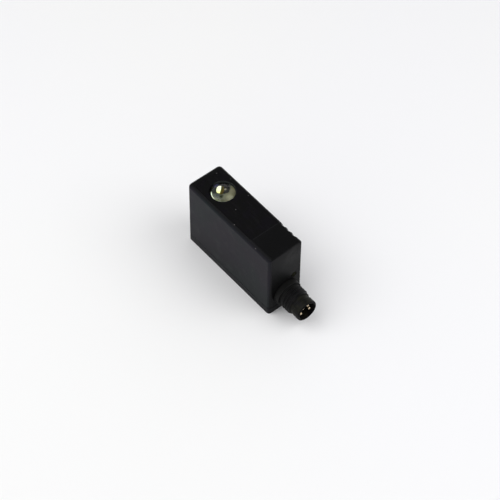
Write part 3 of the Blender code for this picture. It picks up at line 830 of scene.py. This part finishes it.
def pinGold():
    surface = Surface("pinGold")
    lines = surface.noise(9.0, 2.0, 0.5, stretch=(3.0, 0.4, 0.4))
    dull = surface.noise(1.5, 3.0).between(0.4, 0.7)
    surface.bump(lines, 0.06, 0.00003)
    shade = surface.mix(dull, pins["bright"], pins["dull"])
    return surface.finish(Base_Color=shade, Metallic=1.0, Roughness=0.18 + 0.12 * dull)


goldSurface = pinGold()
firstPin = makePin()
for number in range(1, pins["count"] + 1):
    pin = firstPin
    if number < pins["count"]:
        makeActive(firstPin)
        bpy.ops.object.duplicate()
        pin = bpy.context.object
    pin.name = "contactPin%d" % number
    low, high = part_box("contact_pin_%d" % number)
    pin.location = (0, (low.y + high.y) / 2, (low.z + high.z) / 2)
    standFor(settle(pin), goldSurface, "contact_pin_%d" % number, slot="pin_gold", angle=40)
print("pins made")


def makeGuide():
    # its face is slightly domed, with a broken edge
    out = guide["radius"]
    crown = guide["crown"]
    tail = -guide["inside"]
    profile = [
        (0, crown), (out * 0.6, crown / 2), (out - guide["edge"], 0),
        (out, -guide["edge"]), (out, tail), (0, tail),
    ]
    return turnPiece("lightGuide", profile, (plug["face"], guide["y"], guide["z"]), "X", 48)


def guideOlive():
    surface = Surface("guideOlive")
    haze = surface.noise(1.2, 3.0)
    surface.bump(haze, 0.05, 0.0001)
    shade = surface.mix(haze, guide["dark"], guide["light"])
    return surface.finish(Base_Color=shade, Roughness=0.50 + 0.1 * haze, Specular_IOR_Level=0.03)


standFor(makeGuide(), guideOlive(), "indicator_light_guide", slot="light_guide_olive")
print("light guide made")


# two tones, roughness, metallic and the scale of the mottling
inner = {
    "receiver_lens": (colour(0.72, 0.75, 0.72), colour(0.60, 0.64, 0.60), 0.08, 0.0, 0.8),
    "optics_carrier": (colour(0.010, 0.010, 0.011), colour(0.016, 0.016, 0.017), 0.60, 0.0, 3.0),
    "optics_board": (colour(0.010, 0.090, 0.035), colour(0.020, 0.13, 0.055), 0.35, 0.0, 1.1),
    "main_board": (colour(0.010, 0.090, 0.035), colour(0.020, 0.13, 0.055), 0.35, 0.0, 1.1),
    "emitter_led": (colour(0.80, 0.55, 0.15), colour(0.70, 0.44, 0.10), 0.15, 0.0, 1.0),
    "receiver_photodiode": (colour(0.030, 0.018, 0.026), colour(0.045, 0.028, 0.036), 0.18, 0.0, 1.5),
    "sensor_ic": (colour(0.018, 0.018, 0.018), colour(0.030, 0.030, 0.031), 0.50, 0.0, 4.0),
    "output_transistor": (colour(0.020, 0.020, 0.020), colour(0.032, 0.032, 0.033), 0.50, 0.0, 4.0),
    "filter_capacitor": (colour(0.62, 0.36, 0.06), colour(0.52, 0.29, 0.05), 0.40, 0.0, 2.0),
    "board_connector": (colour(0.70, 0.66, 0.55), colour(0.62, 0.58, 0.47), 0.45, 0.0, 1.5),
    "indicator_led": (colour(0.50, 0.60, 0.20), colour(0.42, 0.50, 0.16), 0.20, 0.0, 1.4),
    "contact_insert": (colour(0.0035, 0.0035, 0.0036), colour(0.006, 0.006, 0.006), 0.60, 0.0, 4.0),
    "pin_lead_1": (colour(0.70, 0.70, 0.68), colour(0.58, 0.58, 0.56), 0.30, 1.0, 4.0),
    "plug_seal": (colour(0.012, 0.012, 0.012), colour(0.020, 0.020, 0.020), 0.75, 0.0, 3.0),
    "plug_retainer": (colour(0.020, 0.020, 0.021), colour(0.032, 0.032, 0.033), 0.55, 0.0, 3.0),
}
for number in (2, 3, 4):
    inner["pin_lead_%d" % number] = inner["pin_lead_1"]


def innerSurface(name, first, second, rough, metal, scale):
    # two tones over one another, with a fine grain
    surface = Surface(name + "Finish")
    tone = surface.noise(scale, 3.0, 0.6)
    grain = surface.noise(scale * 5, 2.0, 0.5)
    surface.bump(grain, 0.12, 0.00005)
    return surface.finish(
        Base_Color=surface.mix(tone.between(0.35, 0.65), first, second),
        Roughness=rough - 0.05 + 0.12 * grain, Metallic=metal,
    )


for name, (first, second, rough, metal, scale) in inner.items():
    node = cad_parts[name]
    node.data.materials.clear()
    node.data.materials.append(innerSurface(name, first, second, rough, metal, scale))
print("sealed pieces finished")


stage = {
    "size": 3.0, "card": colour(0.90, 0.90, 0.91), "cardDrift": colour(0.905, 0.905, 0.90),
    "horizon": colour(1.0, 1.0, 1.0), "ceiling": colour(0.36, 0.36, 0.37), "turn": (0.20, 0.72),
    # each lamp's place, width and power, and what both point at
    "key": ((-0.14, -0.26, 0.50), 0.50, 1.5), "fill": ((0.32, 0.24, 0.44), 0.50, 1.3), "aim": (0, 0, 0.01),
}


def makeFloor():
    clearSelection()
    bpy.ops.mesh.primitive_plane_add(size=stage["size"], location=(0, 0, 0))
    floor = bpy.context.object
    floor.name = "floorCard"
    surface = Surface("card")
    drift = surface.noise(0.006, 1.0, 0.5)
    shade = surface.mix(drift.between(0.35, 0.65), stage["card"], stage["cardDrift"])
    floor.data.materials.append(surface.finish(Base_Color=shade, Roughness=0.9, Specular_IOR_Level=0.0))


def makeRoom():
    # white walls all round, and a dimmer ceiling
    world = bpy.data.worlds.new("studio")
    bpy.context.scene.world = world
    world.use_nodes = True
    tree = world.node_tree
    tree.nodes.clear()
    sight = tree.nodes.new("ShaderNodeTexCoord")
    parts = tree.nodes.new("ShaderNodeSeparateXYZ")
    height = tree.nodes.new("ShaderNodeMapRange")
    height.interpolation_type = "SMOOTHSTEP"
    height.inputs["From Min"].default_value, height.inputs["From Max"].default_value = stage["turn"]
    tone = tree.nodes.new("ShaderNodeMix")
    tone.data_type = "RGBA"
    tone.inputs[6].default_value = stage["horizon"]
    tone.inputs[7].default_value = stage["ceiling"]
    room = tree.nodes.new("ShaderNodeBackground")
    out = tree.nodes.new("ShaderNodeOutputWorld")
    tree.links.new(sight.outputs["Generated"], parts.inputs[0])
    tree.links.new(parts.outputs["Z"], height.inputs["Value"])
    tree.links.new(height.outputs[0], tone.inputs[0])
    tree.links.new(tone.outputs[2], room.inputs["Color"])
    tree.links.new(room.outputs[0], out.inputs[0])


def makeLamp(name, place, size, power):
    clearSelection()
    bpy.ops.object.light_add(type="AREA", location=place)
    lamp = bpy.context.object
    lamp.name = name
    lamp.data.shape = "DISK"
    lamp.data.size = size
    lamp.data.energy = power
    lamp.rotation_euler = (Vector(stage["aim"]) - Vector(place)).to_track_quat("-Z", "Y").to_euler()
    lamp.visible_camera = False


# fitted to the photograph: where the camera stands, what it looks at, and its roll in degrees
camera = {
    "place": (0.27428, -0.22994, 0.46862), "aim": (0.00427, -0.00136, 0.01250), "roll": 0.637,
    "lens": 144.0, "sensor": 36, "nearest": 0.01,
}


def makeCamera():
    clearSelection()
    bpy.ops.object.camera_add()
    eye = bpy.context.object
    eye.name = "photoCamera"
    eye.data.lens = camera["lens"]
    eye.data.sensor_width = camera["sensor"]
    eye.data.clip_start = camera["nearest"]
    place = Vector(camera["place"])
    look = (Vector(camera["aim"]) - place).to_track_quat("-Z", "Y")
    roll = Quaternion((0, 0, 1), math.radians(camera["roll"]))
    eye.matrix_world = Matrix.Translation(place) @ (look @ roll).to_matrix().to_4x4()
    bpy.context.scene.camera = eye


makeFloor()
makeRoom()
makeLamp("keyLamp", *stage["key"])
makeLamp("fillLamp", *stage["fill"])
makeCamera()
bpy.context.scene.view_settings.view_transform = "Standard"
print("stage ready")
